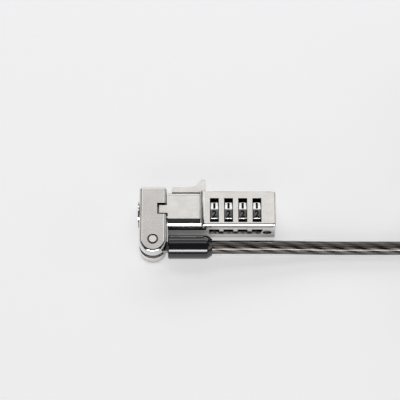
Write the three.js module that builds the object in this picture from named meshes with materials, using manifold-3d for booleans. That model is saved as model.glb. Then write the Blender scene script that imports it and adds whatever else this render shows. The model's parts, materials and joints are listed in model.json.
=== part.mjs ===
// Laptop cable lock: a four-dial combination lock head, the swivelling cable fitting on its
// yoke, and the steel security cable. Millimetres. +X runs along the head from the nose
// (-X) to the end cap, +Y is the side with the thumb slide, +Z is up, and z = 0 is the
// surface that the lock lies on.
import * as THREE from 'three';
import { mergeVertices } from 'three/addons/utils/BufferGeometryUtils.js';
import Module from 'manifold-3d';

const wasm = await Module();
wasm.setup();

// ---- driving dimensions -------------------------------------------------------------
const GAP = 0.3; // clearance between neighbouring pieces

const AXIS_Y = 2.25; // lock axis: dials, spindle, nose
const AXIS_Z = 7.05;

const BODY_LEFT = -15.8; // housing, from the yoke face to the end cap joint
const BODY_RIGHT = 25.8;
const BODY_FRONT = -4.95;
const BODY_BACK = 10.05;
const BODY_TOP = 12.1; // top of the casting; the cover sits on it
const CAP_END = 27.0; // outer face of the end cap
const CAP_ROUND = 0.55;
const COVER_LEFT = -2.9;
const COVER_CORNER = 2.5; // the cover's front left corner, seen from above
const COVER_TOP = 13.2;
const FRONT_ROUND = 3.8; // large front top radius of the neck
const EDGE_ROUND = 1.6;
const SEAM_ROUND = 0.8; // front edge of the casting under the cover

const DIAL_COUNT = 4;
const DIAL_FIRST_X = 2.7;
const DIAL_PITCH = 5.62;
const DIAL_WIDTH = 3.4;
const DIAL_RADIUS = 5.9; // over the corners of the ten facets
const DIAL_FACETS = 10;
const DIAL_BORE = 4.15;
const WINDOW_WIDTH = 3.55;
const WINDOW_BACK = 6.95; // the windows' ends in Y
const WINDOW_FRONT = -3.35;
const CHAMBER_SIDE = 0.25; // room beside each dial
const CHAMBER_FRONT = -3.95;
const CHAMBER_BACK = 8.6;
const FLOOR = 0.75; // casting under the dials
const SLOT_LOW = 4.7; // thumb slot along the front
const SLOT_HIGH = 9.4;
const SLOT_LEFT = 0.6;
const SLOT_RIGHT = 21.5;
const RIB_SETBACK = 0.6;

const LUG_WIDTH = 1.2;
const SLEEVE_WIDTH = 2.0;
const SPINDLE_RADIUS = 1.9;
const LUG_RADIUS = 3.0;
const GATE_RADIUS = 3.3;
const RIB_BORE = 3.6;
const CAVITY_RADIUS = 4.3; // round chamber inside the neck
const CAVITY_LEFT = -14.9;
const CAVITY_RIGHT = -2.3;

const YOKE_LEFT = -27.1;
const YOKE_RIGHT = -16.2;
const YOKE_BACK = 12.15;
const YOKE_TOP = 12.8;
const YOKE_ROUND = 1.2;
const PIN_X = -21.65; // vertical pin that the cable fitting turns on
const PIN_Y = -10.35;
const PIN_RADIUS = 1.85;
const CLEVIS_LOW = 5.6;
const CLEVIS_HIGH = 8.5;
const KEY_Y = 2.75; // anti-rotation key between housing and yoke
const KEY_WIDTH = 3.3;
const KEY_REACH = -19.2;
const NOTCH_LEFT = -20.0;
const NOTCH_LOW = 10.7;
const NOTCH_GAP = 0.75; // room beside the key

const STUD_BORE = 3.2; // mouth of the nose, for the anchor's shoulder
const STUD_DEPTH = 4.7;
const NOSE_RADIUS = 2.8;
const BALL_RADIUS = 0.75;
const BALL_ORBIT = 2.25;
const BALL_X = -12.2;
const BALL_COUNT = 3;

const CABLE_DIAMETER = 5.5;
const CABLE_RADIUS = CABLE_DIAMETER / 2;
const FITTING_Y = -11.6; // axis of the cable where it leaves the boot
const BOOT_LEFT = -15.7;
const BOOT_RIGHT = 1.8;
const BOOT_RADIUS = 4.7;
const CABLE_START = -6.0; // the cable's end inside the crimp barrel

const HANK_LEFT = 86; // the stored length of cable, tied in line with the lock
const HANK_STRAIGHT = 59.9;
const FOLD_RADIUS = 16.5; // inner fold, at the middle of the cable
const HANK_TURNS_ACROSS = 2;
const HANK_LAYERS = 5;
const CABLE_Y = -10.29; // the cable's line along the surface
const FERRULE_RADIUS = 4.0;
const FERRULE_LENGTH = 16;
const LOOP_LENGTH = 46;
const LOOP_HALF = 15; // half the loop's width, at the middle of the cable

// ---- materials ----------------------------------------------------------------------
const finish = (color, metalness, roughness) =>
  new THREE.MeshStandardMaterial({ color, metalness, roughness });
const SATIN = finish(0xc9c6c2, 0.9, 0.35);
const POLISHED = finish(0xd8d8d8, 1.0, 0.12);
const DIAL_METAL = finish(0xdedede, 0.9, 0.2);
const STEEL = finish(0xa8a8a8, 1.0, 0.3);
const BRASS = finish(0xb99a55, 0.9, 0.35);
const GLOSS_BLACK = finish(0x101012, 0.0, 0.15);
const SMOKED = finish(0x4a443e, 0.2, 0.2);
const STRAP = finish(0x17171a, 0.0, 0.9);

// ---- geometry helpers ---------------------------------------------------------------
// A closed three.js geometry as a solid that booleans can work on.
function solid(geometry) {
  const bare = (geometry.index ? geometry.toNonIndexed() : geometry).clone();
  bare.deleteAttribute('normal');
  bare.deleteAttribute('uv');
  const merged = mergeVertices(bare, 1e-4);
  return new wasm.Manifold(new wasm.Mesh({
    numProp: 3,
    vertProperties: new Float32Array(merged.attributes.position.array),
    triVerts: new Uint32Array(merged.index.array),
  }));
}

function geometryOf(body) {
  const mesh = body.getMesh();
  const geometry = new THREE.BufferGeometry();
  geometry.setAttribute('position', new THREE.BufferAttribute(mesh.vertProperties, 3));
  geometry.setIndex(new THREE.BufferAttribute(mesh.triVerts, 1));
  geometry.computeVertexNormals();
  return geometry;
}

// The first geometry, joined with the second list and cut by the third.
function made(base, { join = [], cut = [] }) {
  let body = solid(base);
  for (const piece of join) body = body.add(solid(piece));
  for (const tool of cut) body = body.subtract(solid(tool));
  return geometryOf(body);
}

const box = (x0, x1, y0, y1, z0, z1) =>
  new THREE.BoxGeometry(x1 - x0, y1 - y0, z1 - z0)
    .translate((x0 + x1) / 2, (y0 + y1) / 2, (z0 + z1) / 2);

// An outline drawn in Y and Z, carried along X.
const yzToX = (x) =>
  new THREE.Matrix4().set(0, 0, 1, x, 1, 0, 0, 0, 0, 1, 0, 0, 0, 0, 0, 1);
const alongX = (shape, x0, x1) =>
  new THREE.ExtrudeGeometry(shape, { depth: x1 - x0, bevelEnabled: false, curveSegments: 10 })
    .applyMatrix4(yzToX(x0));

// An outline drawn in X and Y, carried along Z, with rounded edges if round is given.
function alongZ(shape, z0, z1, round = 0, segments = 5) {
  return new THREE.ExtrudeGeometry(shape, {
    depth: z1 - z0 - 2 * round,
    bevelEnabled: round > 0,
    bevelThickness: round,
    bevelSize: round,
    bevelOffset: -round,
    bevelSegments: 5,
    curveSegments: segments,
  }).translate(0, 0, z0 + round);
}

// A turned piece: pairs of [radius, place along the axis], closed on the axis or on itself.
const turned = (profile, segments = 24) =>
  new THREE.LatheGeometry(profile.map(([r, h]) => new THREE.Vector2(r, h)), segments);
const turnedX = (profile, y = AXIS_Y, z = AXIS_Z, segments = 24) =>
  turned(profile, segments).rotateZ(-Math.PI / 2).translate(0, y, z);
const rodX = (r, x0, x1, y = AXIS_Y, z = AXIS_Z, segments = 24) =>
  turnedX([[0, x0], [r, x0], [r, x1], [0, x1]], y, z, segments);
const rodY = (r, y0, y1, x, z, segments = 20) =>
  turned([[0, y0], [r, y0], [r, y1], [0, y1]], segments).translate(x, 0, z);
const rodZ = (r, z0, z1, x, y, segments = 16) =>
  turned([[0, z0], [r, z0], [r, z1], [0, z1]], segments).rotateX(Math.PI / 2).translate(x, y, 0);

// The lock's section: a rectangle in Y and Z with its four corners rounded.
function section(y0, y1, z0, z1, { frontTop, backTop, low = EDGE_ROUND }) {
  const s = new THREE.Shape();
  s.moveTo(y0 + low, z0);
  s.lineTo(y1 - low, z0);
  s.absarc(y1 - low, z0 + low, low, -Math.PI / 2, 0, false);
  s.absarc(y1 - backTop, z1 - backTop, backTop, 0, Math.PI / 2, false);
  s.absarc(y0 + frontTop, z1 - frontTop, frontTop, Math.PI / 2, Math.PI, false);
  s.absarc(y0 + low, z0 + low, low, Math.PI, 1.5 * Math.PI, false);
  return s;
}

// The raised part's outline from above, with its front left corner swept round.
function raisedPlan() {
  const s = new THREE.Shape();
  s.moveTo(COVER_LEFT + COVER_CORNER, BODY_FRONT - 1);
  s.lineTo(BODY_RIGHT, BODY_FRONT - 1);
  s.lineTo(BODY_RIGHT, BODY_BACK + 1);
  s.lineTo(COVER_LEFT, BODY_BACK + 1);
  s.lineTo(COVER_LEFT, BODY_FRONT + COVER_CORNER);
  s.absarc(COVER_LEFT + COVER_CORNER, BODY_FRONT + COVER_CORNER, COVER_CORNER, Math.PI, 1.5 * Math.PI, false);
  return s;
}

const dialX = (i) => DIAL_FIRST_X + i * DIAL_PITCH;

// The group is moved so that the origin is under the middle of the head, without its cable.
const ORIGIN_SHIFT = new THREE.Vector3(0.3, 0.075, 0);
const lock = new THREE.Group();
lock.position.copy(ORIGIN_SHIFT);
const add = (name, geometry, material) => {
  const mesh = new THREE.Mesh(geometry, material.clone());
  mesh.name = name;
  lock.add(mesh);
};

// ---- fasteners: places and sizes used by the pieces that they hold ---------------------
const COVER_SCREWS = [[-0.95, -2.35], [-0.95, 7.0], [23.9, 7.2]];
const COVER_SCREW_RADIUS = 0.65;
const COVER_HEAD_RADIUS = 1.2;
const COVER_HEAD_HEIGHT = 0.8;
const BOSS_RADIUS = 1.15;
const BOSS_LOW = 10.1;
const CAP_PEGS = [2.4, 11.0];
const CAP_PEG_RADIUS = 0.7;
const CAP_PEG_LEFT = 23.2;
const RESET_X = 23.7;
const RESET_Z = 6.4;
const RESET_RADIUS = 1.45;
const RESET_FACE = -4.35;
const RESET_END = -1.2;

// ---- housing -------------------------------------------------------------------------
// The casting holds a round cavity in the neck, four dial chambers open at the top, and
// the ribs between them that the spindle runs through.
function housing() {
  const neck = alongX(
    section(BODY_FRONT, BODY_BACK, 0, BODY_TOP, { frontTop: FRONT_ROUND, backTop: EDGE_ROUND }),
    BODY_LEFT, COVER_LEFT + COVER_CORNER + 0.5);
  const main = alongX(
    section(BODY_FRONT, BODY_BACK, 0, BODY_TOP, { frontTop: SEAM_ROUND, backTop: 0.05 }),
    COVER_LEFT, BODY_RIGHT);
  const raised = solid(main).intersect(solid(alongZ(raisedPlan(), -1, COVER_TOP, 0, 16)));
  const key = box(KEY_REACH, BODY_LEFT + 1, KEY_Y - KEY_WIDTH / 2, KEY_Y + KEY_WIDTH / 2, 11.0, 12.1);
  const chambers = [];
  for (let i = 0; i < DIAL_COUNT; i += 1) {
    const half = DIAL_WIDTH / 2 + CHAMBER_SIDE;
    chambers.push(box(dialX(i) - half, dialX(i) + half, CHAMBER_FRONT, CHAMBER_BACK, FLOOR, 14));
  }
  const slot = new THREE.Shape();
  slot.moveTo(SLOT_LEFT, SLOT_LOW);
  slot.lineTo(SLOT_RIGHT - 0.7, SLOT_LOW);
  slot.lineTo(SLOT_RIGHT + 0.5, SLOT_HIGH);
  slot.lineTo(SLOT_LEFT, SLOT_HIGH);
  const slotCut = new THREE.ExtrudeGeometry(slot, {
    depth: CHAMBER_FRONT - BODY_FRONT + 1, bevelEnabled: false,
  }).rotateX(Math.PI / 2).translate(0, CHAMBER_FRONT, 0);
  const ribs = [];
  for (let i = 0; i < DIAL_COUNT - 1; i += 1) {
    const half = DIAL_WIDTH / 2 + CHAMBER_SIDE;
    ribs.push(box(dialX(i) + half, dialX(i + 1) - half,
      BODY_FRONT + RIB_SETBACK, CHAMBER_FRONT + 0.5, SLOT_LOW - 0.5, SLOT_HIGH + 0.5));
  }
  let body = solid(neck).add(raised).add(solid(key));
  for (const cut of [slotCut, ...chambers]) body = body.subtract(solid(cut));
  for (const rib of ribs) body = body.add(solid(rib));
  const cuts = [
    rodX(NOSE_RADIUS + GAP, BODY_LEFT - 5, CAVITY_LEFT + 0.1),
    rodX(CAVITY_RADIUS, CAVITY_LEFT, CAVITY_RIGHT),
    // the way for the carriage's arm, and the slot in the back wall that it comes out of
    box(-11.0, -3.2, AXIS_Y, 8.6, AXIS_Z - 1.9, AXIS_Z + 1.9),
    box(-10.9, -3.3, 8.0, BODY_BACK + 1, AXIS_Z - 1.5, AXIS_Z + 1.5),
    rodX(RIB_BORE, CAVITY_RIGHT + 2.1, 22.6),
    rodX(SPINDLE_RADIUS + GAP, CAVITY_RIGHT - 0.5, BODY_RIGHT + 1),
    rodY(RESET_RADIUS + GAP, BODY_FRONT - 1, RESET_END + 0.3, RESET_X, RESET_Z),
  ];
  for (const [x, y] of COVER_SCREWS) {
    cuts.push(rodZ(COVER_SCREW_RADIUS + GAP, -1, 13, x, y));
    cuts.push(rodZ(COVER_HEAD_RADIUS + GAP, -1, COVER_HEAD_HEIGHT + 0.5, x, y));
    cuts.push(rodZ(BOSS_RADIUS + GAP, BOSS_LOW - GAP, 13, x, y));
  }
  for (const z of CAP_PEGS) {
    cuts.push(rodX(CAP_PEG_RADIUS + GAP, CAP_PEG_LEFT - GAP, BODY_RIGHT + 1, AXIS_Y, z, 12));
  }
  for (const cut of cuts) body = body.subtract(solid(cut));
  return geometryOf(body);
}
add('housing', housing(), SATIN);

// ---- dial cover, end cap and their fasteners -----------------------------------------
function dialCover() {
  const side = new THREE.Shape(); // seen from the front, with the rounded step at its left
  side.moveTo(COVER_LEFT, BODY_TOP);
  side.lineTo(BODY_RIGHT, BODY_TOP);
  side.lineTo(BODY_RIGHT, COVER_TOP);
  side.lineTo(COVER_LEFT + 1.9, COVER_TOP);
  side.absellipse(COVER_LEFT + 1.9, BODY_TOP + 0.25, 1.9, COVER_TOP - BODY_TOP - 0.25,
    Math.PI / 2, Math.PI, false, 0);
  const plate = new THREE.ExtrudeGeometry(side, {
    depth: BODY_BACK - BODY_FRONT, bevelEnabled: false, curveSegments: 8,
  }).rotateX(Math.PI / 2).translate(0, BODY_BACK, 0);
  const edges = alongX(
    section(BODY_FRONT, BODY_BACK, 0, COVER_TOP, { frontTop: 1.0, backTop: 0.35 }),
    COVER_LEFT - 1, BODY_RIGHT + 1);
  let body = solid(plate).intersect(solid(edges))
    .intersect(solid(alongZ(raisedPlan(), BODY_TOP - 1, COVER_TOP + 1, 0, 16)));
  for (const [x, y] of COVER_SCREWS) body = body.add(solid(rodZ(BOSS_RADIUS, BOSS_LOW, 12.4, x, y)));
  for (let i = 0; i < DIAL_COUNT; i += 1) {
    const half = WINDOW_WIDTH / 2;
    const window = box(dialX(i) - half, dialX(i) + half, WINDOW_FRONT, WINDOW_BACK, 11, 14);
    body = body.subtract(solid(window));
  }
  for (const [x, y] of COVER_SCREWS) {
    body = body.subtract(solid(rodZ(COVER_SCREW_RADIUS + GAP, BOSS_LOW - 1, 12.4, x, y)));
  }
  return geometryOf(body);
}
add('dial_cover', dialCover(), SATIN);

function endCap() {
  const outline = section(BODY_FRONT, BODY_BACK, 0, COVER_TOP, { frontTop: 1.1, backTop: 0.9 });
  const plate = alongX(outline, BODY_RIGHT, CAP_END - CAP_ROUND);
  const face = new THREE.ExtrudeGeometry(outline, {
    depth: 0.01, bevelEnabled: true, bevelThickness: CAP_ROUND - 0.01, bevelSize: CAP_ROUND,
    bevelOffset: -CAP_ROUND, bevelSegments: 3, curveSegments: 5,
  }).applyMatrix4(yzToX(CAP_END - CAP_ROUND));
  return made(plate, {
    join: [face, ...CAP_PEGS.map((z) =>
      rodX(CAP_PEG_RADIUS, CAP_PEG_LEFT, BODY_RIGHT + 0.5, AXIS_Y, z, 12))],
    cut: [rodX(SPINDLE_RADIUS + GAP, BODY_RIGHT - 1, BODY_RIGHT + 0.7)],
  });
}
add('end_cap', endCap(), POLISHED);

COVER_SCREWS.forEach(([x, y], i) => {
  const profile = [[0, 0.35], [COVER_HEAD_RADIUS, 0.35], [COVER_HEAD_RADIUS, 0.35 + COVER_HEAD_HEIGHT],
    [COVER_SCREW_RADIUS, 0.35 + COVER_HEAD_HEIGHT], [COVER_SCREW_RADIUS, 12.0], [0, 12.0]];
  const screw = turned(profile, 16).rotateX(Math.PI / 2).translate(x, y, 0);
  add(`cover_screw_${i + 1}`, made(screw, { cut: [
    box(x - 0.9, x + 0.9, y - 0.18, y + 0.18, 0, 0.7),
    box(x - 0.18, x + 0.18, y - 0.9, y + 0.9, 0, 0.7),
  ] }), STEEL);
});

function resetScrew() {
  const disc = rodY(RESET_RADIUS, RESET_FACE, RESET_END, RESET_X, RESET_Z);
  return made(disc, { cut: [
    box(RESET_X - 3, RESET_X + 3, RESET_FACE - 1, RESET_FACE + 0.8, RESET_Z - 0.3, RESET_Z + 0.3),
  ] });
}
add('reset_screw', resetScrew(), STEEL);

// ---- dials, code sleeves and detent spring ---------------------------------------------
// A circle with evenly spaced square teeth, drawn in Y and Z about the lock's axis.
function toothed(root, tip, teeth, fill) {
  const s = new THREE.Shape();
  for (let i = 0; i < teeth; i += 1) {
    const middle = (i / teeth) * 2 * Math.PI;
    const half = (fill * Math.PI) / teeth;
    for (const [r, a] of [[root, -half], [tip, -half], [tip, half], [root, half]]) {
      const y = AXIS_Y + r * Math.cos(middle + a);
      const z = AXIS_Z + r * Math.sin(middle + a);
      if (i === 0 && r === root && a < 0) s.moveTo(y, z);
      else s.lineTo(y, z);
    }
  }
  return s;
}

function facets(radius, count) {
  const s = new THREE.Shape();
  for (let i = 0; i < count; i += 1) {
    const a = Math.PI / 2 + (i / count) * 2 * Math.PI;
    const y = AXIS_Y + radius * Math.cos(a);
    const z = AXIS_Z + radius * Math.sin(a);
    if (i === 0) s.moveTo(y, z);
    else s.lineTo(y, z);
  }
  return s;
}

for (let i = 0; i < DIAL_COUNT; i += 1) {
  const x = dialX(i);
  const dial = made(alongX(facets(DIAL_RADIUS, DIAL_FACETS), x - DIAL_WIDTH / 2, x + DIAL_WIDTH / 2), {
    cut: [
      alongX(toothed(DIAL_BORE, DIAL_BORE + 0.45, DIAL_FACETS, 0.6), x - 3, x + 3),
    ],
  });
  add(`dial_${i + 1}`, dial, DIAL_METAL);
  // the gate faces up, where the lug passes when the dial stands at its code
  const sleeve = made(
    alongX(toothed(DIAL_BORE - GAP, DIAL_BORE + 0.15, DIAL_FACETS, 0.3),
      x - SLEEVE_WIDTH / 2, x + SLEEVE_WIDTH / 2),
    { cut: [
      rodX(SPINDLE_RADIUS + GAP, x - 3, x + 3),
      box(x - 3, x + 3, AXIS_Y - 1.0, AXIS_Y + 1.0, AXIS_Z, AXIS_Z + GATE_RADIUS),
    ] });
  add(`code_sleeve_${i + 1}`, sleeve, BRASS);
}

// Flat leaves against the back wall that step each dial from facet to facet.
const SPRING_THICK = 0.2;
for (let i = 0; i < DIAL_COUNT; i += 1) {
  add(`detent_leaf_${i + 1}`, box(dialX(i) - 1.2, dialX(i) + 1.2,
    CHAMBER_BACK - SPRING_THICK, CHAMBER_BACK, 1.2, 9.2), STEEL);
}

// ---- spindle, carriage, thumb slide and return spring --------------------------------
const CARRIAGE_LEFT = -9.6;
const CARRIAGE_RIGHT = -7.9;
const ARM_END = 10.25;
const SLIDE_FACE = 10.35;
const SLIDE_THICK = 2.4;
const SLIDE_LEFT = -14.2;
const SLIDE_RIGHT = -0.7;
const FIN_REACH = 5.8;
const SLIDE_SCREW_X = -8.75;

function spindle() {
  const lugs = [];
  for (let i = 0; i < DIAL_COUNT; i += 1) {
    const left = dialX(i) - SLEEVE_WIDTH / 2 - 0.4 - LUG_WIDTH;
    lugs.push(box(left, left + LUG_WIDTH, AXIS_Y - 0.7, AXIS_Y + 0.7, AXIS_Z, AXIS_Z + LUG_RADIUS));
  }
  return made(rodX(SPINDLE_RADIUS, CARRIAGE_RIGHT - 1.4, 21.9), { join: lugs });
}
add('spindle', spindle(), STEEL);

add('carriage', made(rodX(CAVITY_RADIUS - GAP, CARRIAGE_LEFT, CARRIAGE_RIGHT), {
  join: [box(CARRIAGE_LEFT, CARRIAGE_RIGHT, AXIS_Y, ARM_END - 0.1, AXIS_Z - 1.1, AXIS_Z + 1.1)],
  cut: [
    rodX(SPINDLE_RADIUS + GAP, CARRIAGE_LEFT + 0.1, CARRIAGE_RIGHT + 1),
    rodY(0.75, 6.9, ARM_END + 1, SLIDE_SCREW_X, AXIS_Z, 12),
  ],
}), STEEL);

function thumbSlide() {
  const s = new THREE.Shape(); // plan view: a thin pad that sweeps up into the fin
  const top = SLIDE_FACE + SLIDE_THICK;
  s.moveTo(SLIDE_LEFT, SLIDE_FACE);
  s.lineTo(SLIDE_RIGHT, SLIDE_FACE);
  s.lineTo(SLIDE_RIGHT, SLIDE_FACE + FIN_REACH - 0.4);
  s.absarc(SLIDE_RIGHT - 0.4, SLIDE_FACE + FIN_REACH - 0.4, 0.4, 0, Math.PI / 2, false);
  s.lineTo(SLIDE_RIGHT - 1.9, SLIDE_FACE + FIN_REACH);
  s.quadraticCurveTo(SLIDE_RIGHT - 3.2, top, SLIDE_RIGHT - 6.4, top);
  s.lineTo(SLIDE_LEFT + 1.0, top);
  s.absarc(SLIDE_LEFT + 1.0, top - 1.0, 1.0, Math.PI / 2, Math.PI, false);
  const pad = alongZ(s, AXIS_Z - 4.0, AXIS_Z + 4.0);
  return made(pad, { cut: [
    rodY(0.95, SLIDE_FACE - 1, top + 1, SLIDE_SCREW_X, AXIS_Z, 16),
    rodY(1.75, top - 1.1, top + 1, SLIDE_SCREW_X, AXIS_Z, 16),
  ] });
}
add('thumb_slide', thumbSlide(), SATIN);

const SLIDE_SCREW_TOP = SLIDE_FACE + SLIDE_THICK - 0.15;
add('slide_screw', made(
  turned([[0, 7.2], [0.45, 7.2], [0.45, SLIDE_SCREW_TOP - 0.65], [1.45, SLIDE_SCREW_TOP - 0.65],
    [1.45, SLIDE_SCREW_TOP], [0, SLIDE_SCREW_TOP]], 16).translate(SLIDE_SCREW_X, 0, AXIS_Z),
  { cut: [
    box(SLIDE_SCREW_X - 1, SLIDE_SCREW_X + 1, SLIDE_SCREW_TOP - 0.4, 20, AXIS_Z - 0.2, AXIS_Z + 0.2),
    box(SLIDE_SCREW_X - 0.2, SLIDE_SCREW_X + 0.2, SLIDE_SCREW_TOP - 0.4, 20, AXIS_Z - 1, AXIS_Z + 1),
  ] }), STEEL);

class Helix extends THREE.Curve {
  constructor(radius, x0, x1, turns) {
    super();
    Object.assign(this, { radius, x0, x1, turns });
  }
  getPoint(t, target = new THREE.Vector3()) {
    const a = 2 * Math.PI * this.turns * t;
    return target.set(this.x0 + (this.x1 - this.x0) * t,
      AXIS_Y + this.radius * Math.cos(a), AXIS_Z + this.radius * Math.sin(a));
  }
}
// A round section of a few sides, carried along a curve.
function tube(curve, radius, steps, sides) {
  const s = new THREE.Shape();
  for (let i = 0; i < sides; i += 1) {
    const a = (i / sides) * 2 * Math.PI;
    if (i === 0) s.moveTo(radius, 0);
    else s.lineTo(radius * Math.cos(a), radius * Math.sin(a));
  }
  return new THREE.ExtrudeGeometry(s, { steps, extrudePath: curve, bevelEnabled: false });
}
add('return_spring', tube(new Helix(2.7, CARRIAGE_RIGHT + 0.3, CAVITY_RIGHT - 0.35, 3.4), 0.22, 40, 6), STEEL);

// ---- nose: socket tube, locking sleeve, balls and retaining ring ----------------------
const NOSE_END = -10.1;
const FLANGE_RADIUS = 5.2;
const FLANGE_OUT = 0.5;
const RING_X = -14.4;
function ballPlaces() {
  return Array.from({ length: BALL_COUNT }, (_, i) => Math.PI / 2 + (i * 2 * Math.PI) / BALL_COUNT);
}
function noseTube() {
  const left = YOKE_LEFT - FLANGE_OUT;
  const profile = [
    [STUD_BORE, left], [FLANGE_RADIUS, left], [FLANGE_RADIUS, YOKE_LEFT],
    [STUD_BORE + 1.0, YOKE_LEFT], [STUD_BORE + 1.0, left + STUD_DEPTH + 1.0],
    [NOSE_RADIUS, left + STUD_DEPTH + 1.0], [NOSE_RADIUS, RING_X - 0.5], [NOSE_RADIUS - 0.4, RING_X - 0.5],
    [NOSE_RADIUS - 0.4, RING_X + 0.5], [NOSE_RADIUS, RING_X + 0.5], [NOSE_RADIUS, NOSE_END],
    [1.9, NOSE_END], [1.9, left + STUD_DEPTH], [STUD_BORE, left + STUD_DEPTH], [STUD_BORE, left],
  ];
  const holes = ballPlaces().map((a) =>
    turned([[0, 0.8], [BALL_RADIUS + 0.25, 0.8], [BALL_RADIUS + 0.25, 4], [0, 4]], 12)
      .rotateX(a).translate(BALL_X, AXIS_Y, AXIS_Z));
  return made(turnedX(profile), { cut: holes });
}
add('nose_tube', noseTube(), POLISHED);

ballPlaces().forEach((a, i) => {
  add(`locking_ball_${i + 1}`, new THREE.SphereGeometry(BALL_RADIUS, 10, 8).translate(
    BALL_X, AXIS_Y + BALL_ORBIT * Math.cos(a), AXIS_Z + BALL_ORBIT * Math.sin(a)), STEEL);
});

const SLEEVE_LEFT = -13.2;
add('locking_sleeve', turnedX([
  [NOSE_RADIUS + GAP, SLEEVE_LEFT], [CAVITY_RADIUS - GAP, SLEEVE_LEFT],
  [CAVITY_RADIUS - GAP, CARRIAGE_LEFT], [NOSE_RADIUS + GAP, CARRIAGE_LEFT],
  [NOSE_RADIUS + GAP, SLEEVE_LEFT]]), BRASS);

add('retaining_ring', made(
  turnedX([[NOSE_RADIUS - 0.1, RING_X - 0.25], [3.9, RING_X - 0.25], [3.9, RING_X + 0.25],
    [NOSE_RADIUS - 0.1, RING_X + 0.25], [NOSE_RADIUS - 0.1, RING_X - 0.25]]),
  { cut: [box(RING_X - 1, RING_X + 1, AXIS_Y - 1.2, AXIS_Y + 1.2, AXIS_Z - 6, AXIS_Z - 1)] }), STEEL);

// ---- yoke and the cable fitting that turns on its pin ----------------------------------
function yoke() {
  const half = (YOKE_RIGHT - YOKE_LEFT) / 2;
  const middle = (YOKE_LEFT + YOKE_RIGHT) / 2;
  const corner = 1.3;
  const s = new THREE.Shape();
  s.moveTo(YOKE_RIGHT, PIN_Y);
  s.lineTo(YOKE_RIGHT, YOKE_BACK - corner);
  s.absarc(YOKE_RIGHT - corner, YOKE_BACK - corner, corner, 0, Math.PI / 2, false);
  s.lineTo(YOKE_LEFT + corner, YOKE_BACK);
  s.absarc(YOKE_LEFT + corner, YOKE_BACK - corner, corner, Math.PI / 2, Math.PI, false);
  s.lineTo(YOKE_LEFT, PIN_Y);
  s.absarc(middle, PIN_Y, half, Math.PI, 2 * Math.PI, false);
  const slot = new THREE.Shape(); // the gap between the two ears
  slot.moveTo(YOKE_LEFT - 1, -20);
  slot.lineTo(YOKE_RIGHT + 1, -20);
  slot.lineTo(YOKE_RIGHT + 1, -5.2);
  slot.lineTo(YOKE_LEFT - 1, -5.2);
  const notchHalf = KEY_WIDTH / 2 + NOTCH_GAP;
  const notch = box(NOTCH_LEFT, YOKE_RIGHT + 1, KEY_Y - notchHalf, KEY_Y + notchHalf,
    NOTCH_LOW, YOKE_TOP + 1);
  return made(alongZ(s, 0, YOKE_TOP, YOKE_ROUND, 10), {
    cut: [
      alongZ(slot, CLEVIS_LOW, CLEVIS_HIGH),
      notch,
      rodX(NOSE_RADIUS + GAP, YOKE_LEFT - 1, YOKE_RIGHT + 1),
      rodX(STUD_BORE + 1.0 + GAP, YOKE_LEFT - 1, YOKE_LEFT - FLANGE_OUT + STUD_DEPTH + 1.3),
      rodZ(PIN_RADIUS + GAP, -1, YOKE_TOP + 1, PIN_X, PIN_Y, 24),
    ],
  });
}
add('yoke', yoke(), SATIN);
add('hinge_pin', turned([[0, 0.3], [PIN_RADIUS - 0.3, 0.3], [PIN_RADIUS, 0.6], [PIN_RADIUS, YOKE_TOP - 0.3],
  [PIN_RADIUS - 0.3, YOKE_TOP], [0, YOKE_TOP]], 24).rotateX(Math.PI / 2).translate(PIN_X, PIN_Y, 0), POLISHED);

const EYE_RADIUS = 4.3;
const BARREL_RADIUS = 3.55;
const BARREL_RIGHT = -1.5;
function cableEye() {
  const z0 = CLEVIS_LOW + 0.35;
  const z1 = CLEVIS_HIGH - 0.35;
  const disc = rodZ(EYE_RADIUS, z0, z1, PIN_X, PIN_Y, 24);
  const neck = box(PIN_X, BOOT_LEFT + 0.5, FITTING_Y - 2.0, FITTING_Y + 2.0, z0, z1);
  const barrel = rodX(BARREL_RADIUS, BOOT_LEFT + 0.35, BARREL_RIGHT, FITTING_Y, AXIS_Z);
  return made(disc, {
    join: [neck, barrel],
    cut: [
      rodZ(PIN_RADIUS + GAP, 0, 14, PIN_X, PIN_Y, 24),
      rodX(CABLE_RADIUS + GAP, CABLE_START - GAP, BARREL_RIGHT + 1, FITTING_Y, AXIS_Z),
    ],
  });
}
add('cable_eye', cableEye(), STEEL);

add('boot', turnedX([
  [3.85, BOOT_LEFT], [BOOT_RADIUS - 0.5, BOOT_LEFT], [BOOT_RADIUS, BOOT_LEFT + 0.5],
  [BOOT_RADIUS, BOOT_RIGHT - 2.6], [BOOT_RADIUS - 0.5, BOOT_RIGHT - 1.4], [BOOT_RADIUS - 1.2, BOOT_RIGHT - 0.9],
  [BOOT_RADIUS - 1.2, BOOT_RIGHT], [CABLE_RADIUS + GAP, BOOT_RIGHT], [CABLE_RADIUS + GAP, BARREL_RIGHT + GAP],
  [3.85, BARREL_RIGHT + GAP], [3.85, BOOT_LEFT]], FITTING_Y, AXIS_Z), GLOSS_BLACK);

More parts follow.
